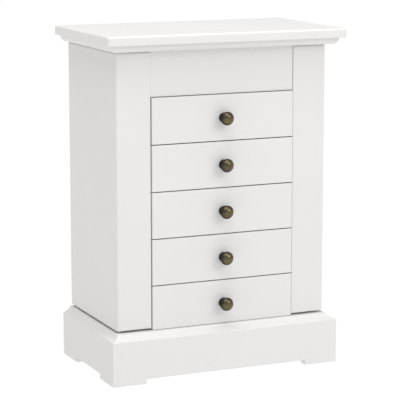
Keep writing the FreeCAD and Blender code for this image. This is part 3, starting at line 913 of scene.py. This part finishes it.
def ring_band(name: str, low: Sequence[float], high: Sequence[float], wall: float) -> bpy.types.Object:
    """Make a four-sided band that follows a rectangle from inside.

    Args:
        name: the new object's name.
        low: lowest corner of the rectangle that it lines.
        high: highest corner.
        wall: the band's thickness.

    Returns:
        The band, open at the top and the bottom.
    """
    fresh()
    centre = (Vector(low) + Vector(high)) / 2
    bpy.ops.mesh.primitive_plane_add(size=1.0, location=(centre.x, centre.y, low[2]))
    band = newest(name)
    band.scale = (high[0] - low[0], high[1] - low[1], 1.0)
    settle(band)
    with editing(band):
        bpy.ops.mesh.select_all(action="SELECT")
        bpy.ops.mesh.inset(thickness=wall, depth=0.0)
        bpy.ops.mesh.delete(type="FACE")
        bpy.ops.mesh.select_all(action="SELECT")
        bpy.ops.mesh.extrude_region_move(
            TRANSFORM_OT_translate={"value": (0.0, 0.0, high[2] - low[2])})
    rounded(outward(band), wall * 0.35, segments=2)
    return smooth(band, 40)


# ------------------------------------------------------------------ doors


class Side(Enum):
    """A flank of the cabinet, as the sign of its X."""

    LEFT = -1.0
    RIGHT = 1.0

    @property
    def word(self) -> str:
        """The side's name in the frame."""
        return self.name.lower()


@dataclass
class NecklaceHooks:
    """A lacquered rail of bronze hooks inside one door."""

    side: Side
    count: int = 6
    wire_radius: float = 1.1 * MM
    rose_radius: float = 3.4 * MM
    straight: float = 4.5 * MM
    curl_radius: float = 3.6 * MM
    tip_radius: float = 1.9 * MM
    rail_depth: float = 6.0 * MM
    rail_border: float = 1.6 * MM
    rail_raise: float = 0.6 * MM
    rail_easing: float = 0.5 * MM
    wire_start: float = 1.0 * MM
    curl_deg: float = 95.0

    def hook(self, at: Point) -> bpy.types.Object:
        """Bend one hook: a rose on the rail, a wire out and upwards, and a ball tip."""
        x, y, z = at
        inward = -self.side.value
        rim = self.rose_radius
        section = [(rim - 0.25 * MM, 0.0), (rim, 0.3 * MM), (rim - 0.1 * MM, 0.7 * MM),
                   (rim - 1.2 * MM, 1.2 * MM), (self.wire_radius + 0.3 * MM, 1.7 * MM), (0.0, 1.8 * MM)]
        rose = lathe("hook_rose", section, at, Facing.RIGHT if inward > 0 else Facing.LEFT, segments=24)
        fresh()
        bpy.ops.mesh.primitive_circle_add(vertices=14, radius=self.wire_radius, fill_type="NGON",
                                          location=(x + inward * self.wire_start, y, z),
                                          rotation=(0.0, math.pi / 2, 0.0))
        wire = settle(newest("hook_wire"))
        bend_x = x + inward * (self.wire_start + self.straight)
        turn = math.radians(self.curl_deg)
        with editing(wire):
            bpy.ops.mesh.select_all(action="SELECT")
            bpy.ops.mesh.extrude_region_move(
                TRANSFORM_OT_translate={"value": (inward * self.straight, 0.0, 0.0)})
            bpy.ops.mesh.spin(steps=9, angle=turn, center=(bend_x, y, z + self.curl_radius),
                              axis=(0.0, -inward, 0.0))
        tip_x = bend_x + inward * self.curl_radius * math.sin(turn)
        tip_z = z + self.curl_radius - self.curl_radius * math.cos(turn)
        fresh()
        bpy.ops.mesh.primitive_uv_sphere_add(segments=18, ring_count=10, radius=self.tip_radius,
                                             location=(tip_x, y, tip_z))
        ball = settle(newest("hook_ball"))
        return merged("necklace_hook", [outward(wire), rose, ball])

    def build(self, lacquer: bpy.types.Material, bronze: bpy.types.Material) -> None:
        """Make the rail and its hooks and set them on the door."""
        door = f"door_{self.side.word}"
        low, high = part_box(f"{door}_hooks")
        outer = high.x if self.side is Side.RIGHT else low.x
        inner = outer - self.side.value * self.rail_depth
        rail = slab(f"{door}_hook_rail", (min(outer, inner), low.y, low.z),
                    (max(outer, inner), high.y, high.z))
        pick_faces(rail, faces_along((-self.side.value, 0, 0)))
        with editing(rail):
            bpy.ops.mesh.inset(thickness=self.rail_border, depth=self.rail_raise)
        smooth(rounded(rail, self.rail_easing), 40)
        finish_piece(rail, lacquer, door, "white_lacquer", f"{door}_hooks")
        pitch = (high.y - low.y) / self.count
        foot = inner - self.side.value * self.rail_raise
        hooks = [self.hook((foot, low.y + (i + 0.5) * pitch, (low.z + high.z) / 2))
                 for i in range(self.count)]
        row = smooth(merged(f"{door}_hook_row", hooks), 45)
        finish_piece(row, bronze, door, "antique_bronze")


@dataclass
class CavityLining:
    """Velvet panels in one necklace cavity: one on the door and one on the carcass wall."""

    side: Side
    pile: float = 0.9 * MM
    margin: float = 5.0 * MM

    def build(self, velvet: bpy.types.Material) -> None:
        """Cut the two panels and set each on its own body."""
        sign = self.side.value
        door = f"door_{self.side.word}"
        panel_low, panel_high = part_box(f"{door}_panel")
        rail_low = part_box(f"{door}_hooks")[0].z
        face = panel_low.x if self.side is Side.RIGHT else panel_high.x
        stile_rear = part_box(f"{door}_stile")[1].y
        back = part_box("back_panel")[0].y
        self.panel(f"{door}_velvet_panel", face, -sign, (stile_rear + self.margin, back - self.margin),
                   (panel_low.z + self.margin, rail_low - self.margin), velvet, door)
        wall_low, wall_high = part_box(f"partition_{self.side.word}")
        wall_face = wall_high.x if self.side is Side.RIGHT else wall_low.x
        catch_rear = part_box("door_catches")[1].y
        self.panel(f"{self.side.word}_cavity_velvet", wall_face, sign,
                   (catch_rear + self.margin, back - self.margin),
                   (wall_low.z + self.margin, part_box("side_caps")[0].z - self.margin), velvet, "carcass")

    def panel(self, name: str, face: float, outwards: float, along: tuple[float, float],
              up: tuple[float, float], velvet: bpy.types.Material, body: str) -> None:
        """Cut one padded panel that stands on a face.

        Args:
            name: the panel's name.
            face: the X of the face that it is glued to.
            outwards: the sign of the X that it stands towards.
            along: where it starts and ends in Y.
            up: where it starts and ends in Z.
            velvet: its cover.
            body: the CAD body that carries it.
        """
        near, far = sorted((face, face + outwards * self.pile))
        made = slab(name, (near, along[0], up[0]), (far, along[1], up[1]))
        smooth(rounded(made, self.pile * 0.45, segments=3), 45)
        finish_piece(made, velvet, body, "velvet")


@dataclass
class MagneticCatches:
    """The two moulded catches behind the door stiles, each with a pair of round magnets."""

    magnet_radius: float = 2.6 * MM
    magnet_shares: tuple[float, float] = (0.29, 0.71)
    magnet_length: float = 0.65 * MM
    magnet_easing: float = 0.2 * MM
    magnet_set_back: float = 0.75 * MM
    shell_width: float = 8.0 * MM
    border: float = 1.0 * MM
    slope: float = 0.3 * MM
    inset: float = 0.35 * MM
    easing: float = 0.4 * MM

    def build(self, plastic: bpy.types.Material, steel: bpy.types.Material) -> None:
        """Mould both catches and press their magnets in."""
        low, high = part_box("door_catches")
        width, radius, length = self.shell_width, self.magnet_radius, self.magnet_length
        section = [(radius, 0.0), (radius, length - 0.15 * MM), (radius - self.magnet_easing, length),
                   (0.0, length)]
        bodies, magnets = [], []
        for near in (low.x, high.x - width):
            shell = slab("catch_shell", (near, low.y, low.z), (near + width, high.y, high.z))
            pick_faces(shell, faces_along((0, -1, 0)))
            with editing(shell):
                bpy.ops.mesh.inset(thickness=self.border, depth=0.0)
                bpy.ops.mesh.inset(thickness=self.slope, depth=-self.inset)
            bodies.append(rounded(shell, self.easing, segments=2))
            for share in self.magnet_shares:
                z = low.z + (high.z - low.z) * share
                magnets.append(lathe("magnet", section, (near + width / 2, low.y + self.magnet_set_back, z),
                                     Facing.FRONT, segments=28))
        shells = smooth(merged("magnet_catch_shells", bodies), 40)
        finish_piece(shells, plastic, "carcass", "catch_plastic", "door_catches")
        discs = smooth(merged("magnet_catch_discs", magnets), 40)
        finish_piece(discs, steel, "carcass", "strike_steel")


# ------------------------------------------------------------------ lid


@dataclass
class LidMirror:
    """A bevelled mirror under the lid board, held by a slim lacquered bead."""

    bevel_width: float = 9.0 * MM
    bevel_depth: float = 0.9 * MM
    bead_width: float = 5.0 * MM
    bead_height: float = 2.6 * MM
    bead_easing: float = 0.9 * MM

    def build(self, silver: bpy.types.Material, lacquer: bpy.types.Material) -> None:
        """Cut the glass, grind its bevel, fit its bead and set both on the lid."""
        low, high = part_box("lid_mirror")
        glass = slab("lid_bevelled_mirror", low, high)
        pick_faces(glass, faces_along((0, 0, -1)))
        with editing(glass):
            bpy.ops.transform.translate(value=(0.0, 0.0, self.bevel_depth))
            bpy.ops.mesh.inset(thickness=self.bevel_width, depth=0.0)
            bpy.ops.transform.translate(value=(0.0, 0.0, -self.bevel_depth))
        smooth(glass, 2)
        finish_piece(glass, silver, "lid", "mirror", "lid_mirror")
        bead = ring_band("lid_mirror_bead", (low.x, low.y, low.z - self.bead_height),
                         (high.x, high.y, low.z + self.bevel_depth), self.bead_width)
        finish_piece(smooth(rounded(bead, self.bead_easing, angle=50), 40), lacquer, "lid",
                     "white_lacquer")


# ------------------------------------------------------------------ hinge screws


@dataclass
class HingeScrews:
    """Countersunk cross-recess screws that hold the leaves of the door and lid hinges."""

    head_radius: float = 1.9 * MM
    shank_radius: float = 0.9 * MM
    head_height: float = 0.9 * MM
    crown: float = 0.12 * MM
    spread: float = 9.0 * MM
    recess_width: float = 0.5 * MM
    recess_depth: float = 0.6 * MM
    leaf_half_length: float = 15.0 * MM

    def screw(self, x: float, z: float, face: float, tip: float) -> bpy.types.Object:
        """Turn one screw with its head flush with a leaf's outer face.

        Args:
            x: the screw's X.
            z: the screw's Z.
            face: the Y of the leaf's outer face.
            tip: the Y where the shank ends.

        Returns:
            The screw.
        """
        length = face - tip
        cone = length - self.head_height
        shank, head = self.shank_radius, self.head_radius
        section = [(shank * 0.4, 0.0), (shank, 1.2 * MM), (shank, cone), (head, length - 0.05 * MM),
                   (head - 0.15 * MM, length), (head * 0.5, length + self.crown * 0.8),
                   (0.0, length + self.crown)]
        made = lathe("hinge_screw", section, (x, tip, z), Facing.BACK, segments=24)
        cut_cross(made, (x, face + self.crown, z), self.head_radius * 1.35, self.recess_width,
                  self.recess_depth)
        return made

    def set_of(self, name: str, places: Sequence[tuple[float, float]], node: str, body: str,
               brass: bpy.types.Material) -> None:
        """Make the screws of one CAD node and set them on its body.

        Args:
            name: the piece's name.
            places: (x, z) of each screw.
            node: the CAD node that they stand for.
            body: the body that carries them.
            brass: their finish.
        """
        low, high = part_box(node)
        screws = [self.screw(x, z, high.y, low.y) for x, z in places]
        finish_piece(smooth(merged(name, screws), 30), brass, body, "hinge_brass", node)

    def build(self, brass: bpy.types.Material) -> None:
        """Make every hinge screw, from the places of the leaves."""
        leaf_low, leaf_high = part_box("door_left_hinge_leaves")
        heights = [leaf_low.z + self.leaf_half_length, leaf_high.z - self.leaf_half_length]
        door_z = [z + s * self.spread for z in heights for s in (-1, 1)]
        narrow_x = sum(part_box("door_left_hinge_screws")[i].x for i in (0, 1)) / 2
        for side in Side:
            x = narrow_x * -side.value
            self.set_of(f"door_{side.word}_cross_screws", [(x, z) for z in door_z],
                        f"door_{side.word}_hinge_screws", f"door_{side.word}", brass)
        lid_low, lid_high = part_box("lid_hinge_leaves")
        lid_x = [x + s * self.spread for x in (lid_low.x + self.leaf_half_length,
                                               lid_high.x - self.leaf_half_length) for s in (-1, 1)]
        lid_z = sum(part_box("lid_hinge_screws")[i].z for i in (0, 1)) / 2
        self.set_of("lid_cross_screws", [(x, lid_z) for x in lid_x], "lid_hinge_screws", "lid", brass)
        screws_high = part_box("carcass_hinge_screws")[1]
        wide_x = screws_high.x - self.head_radius
        fixed_z = screws_high.z - self.head_radius
        places = [(side.value * wide_x, z) for side in Side for z in door_z]
        places += [(x, fixed_z) for x in lid_x]
        self.set_of("carcass_cross_screws", places, "carcass_hinge_screws", "carcass", brass)


# ------------------------------------------------------------------ studio


@dataclass(frozen=True)
class SoftBox:
    """One square studio light that looks at the cabinet."""

    name: str
    place: Point
    size: float
    power: float
    target: Point = (0.0, 0.0, 0.2)

    def build(self) -> None:
        """Hang the light and aim it."""
        fresh()
        bpy.ops.object.light_add(type="AREA", location=self.place)
        lamp = bpy.context.view_layer.objects.active
        lamp.name = self.name
        lamp.data.shape = "SQUARE"
        lamp.data.size = self.size
        lamp.data.energy = self.power
        aim = Vector(self.target) - Vector(self.place)
        lamp.rotation_euler = aim.to_track_quat("-Z", "Y").to_euler()


@dataclass
class Studio:
    """A pale backlit floor, soft light from all round, and a long lens from the front left."""

    lens_mm: float = 163.4
    camera_place: Point = (-0.8600, -1.9497, 0.5765)
    heading_deg: float = 23.84
    dip_deg: float = 10.19
    sky: float = 0.5
    glow: float = 0.94
    floor_side: float = 60.0
    lights: tuple[SoftBox, ...] = (
        SoftBox("key_softbox", (1.5, -2.6, 2.1), 1.8, 35.0),
        SoftBox("top_softbox", (-0.35, -0.4, 2.4), 2.0, 41.5),
    )

    def build(self) -> None:
        """Set up the floor, the light, the camera and a plain view transform."""
        scene = bpy.context.scene
        scene.view_settings.view_transform = "Standard"
        fresh()
        bpy.ops.mesh.primitive_plane_add(size=self.floor_side, location=(0.0, 0.0, 0.0))
        floor = newest("studio_floor")
        floor.data.materials.append(OpalAcrylic(self.glow).build())
        for light in self.lights:
            light.build()
        world = bpy.data.worlds.new("studio_sky")
        world.use_nodes = True
        sky = world.node_tree.nodes["Background"].inputs
        sky["Color"].default_value = linear("#FFFFFF")
        sky["Strength"].default_value = self.sky
        scene.world = world
        fresh()
        turn = (math.radians(90.0 - self.dip_deg), 0.0, math.radians(-self.heading_deg))
        bpy.ops.object.camera_add(location=self.camera_place, rotation=turn)
        camera = bpy.context.view_layer.objects.active
        camera.name = "studio_camera"
        camera.data.lens = self.lens_mm
        camera.data.sensor_width = 36.0
        camera.data.clip_end = 100.0
        scene.camera = camera


# ------------------------------------------------------------------ the whole cabinet


@dataclass
class Armoire:
    """The cabinet: every finish, every CAD board that stays, and the pieces made here."""

    frame: dict
    bare_knob: float = 11.4 * MM
    full_rub: float = 0.9 * MM

    def __post_init__(self) -> None:
        """Mix the finishes. A knob is rubbed from the end of its bare part to near its crown."""
        rub_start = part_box("drawer_1_front")[0].y - self.bare_knob
        rub_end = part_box("drawer_1_knob")[0].y + self.full_rub
        self.lacquer = Lacquer().build()
        self.ply_across = StainedPly("stained_ply_across", Grain.ALONG_X).build()
        self.ply_deep = StainedPly("stained_ply_deep", Grain.ALONG_Y).build()
        self.velvet = Velvet().build()
        self.knob_bronze = AntiqueBronze("rubbed_bronze_knob", rub_start, rub_end).build()
        self.hook_bronze = AntiqueBronze("rubbed_bronze_hook", *NEVER_RUBBED).build()
        self.brass = StampedMetal("lacquered_brass", "#C2AB7E", "#A08A60").build()
        self.steel = StampedMetal("zinc_steel", "#C9CBCC", "#A9ABAC", 0.36).build()
        self.plastic = MouldedPlastic().build()
        self.silver = SilveredGlass().build()

    def dress(self, node: str, material: bpy.types.Material) -> None:
        """Give a CAD node its finish in every material slot that it has."""
        piece = self.frame["nodes"][node]
        for slot in piece.material_slots:
            slot.material = material

    def dress_boards(self) -> None:
        """Dress every CAD node that stays, by its slot in the record."""
        by_slot = {"white_lacquer": self.lacquer, "bare_board": self.ply_across, "velvet": self.velvet,
                   "antique_bronze": self.knob_bronze, "hinge_brass": self.brass,
                   "catch_plastic": self.plastic, "strike_steel": self.steel, "mirror": self.silver}
        for entry in self.frame["record"]["subparts"]:
            self.dress(entry["node"], by_slot[entry["material_slot"]])
        for node in ("tray_dividers", "tray_floor"):
            self.dress(node, self.velvet)
        for number in range(1, DRAWERS + 1):
            self.dress(f"drawer_{number}_walls", self.ply_deep)

    def build(self) -> None:
        """Dress the boards and make every finer piece."""
        self.dress_boards()
        for number in range(1, DRAWERS + 1):
            DrawerKnob(number).build(self.knob_bronze)
            DrawerLining(number).build(self.velvet)
        RingRolls().build(self.velvet)
        TrayLining().build(self.velvet)
        for side in Side:
            NecklaceHooks(side).build(self.lacquer, self.hook_bronze)
            CavityLining(side).build(self.velvet)
        MagneticCatches().build(self.plastic, self.steel)
        LidMirror().build(self.silver, self.lacquer)
        HingeScrews().build(self.brass)


def main() -> None:
    """Build the cabinet and its studio."""
    logging.basicConfig(level=logging.INFO, format="%(name)s: %(message)s")
    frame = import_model()
    Studio().build()
    Armoire(frame).build()


if __name__ == "__main__":
    main()
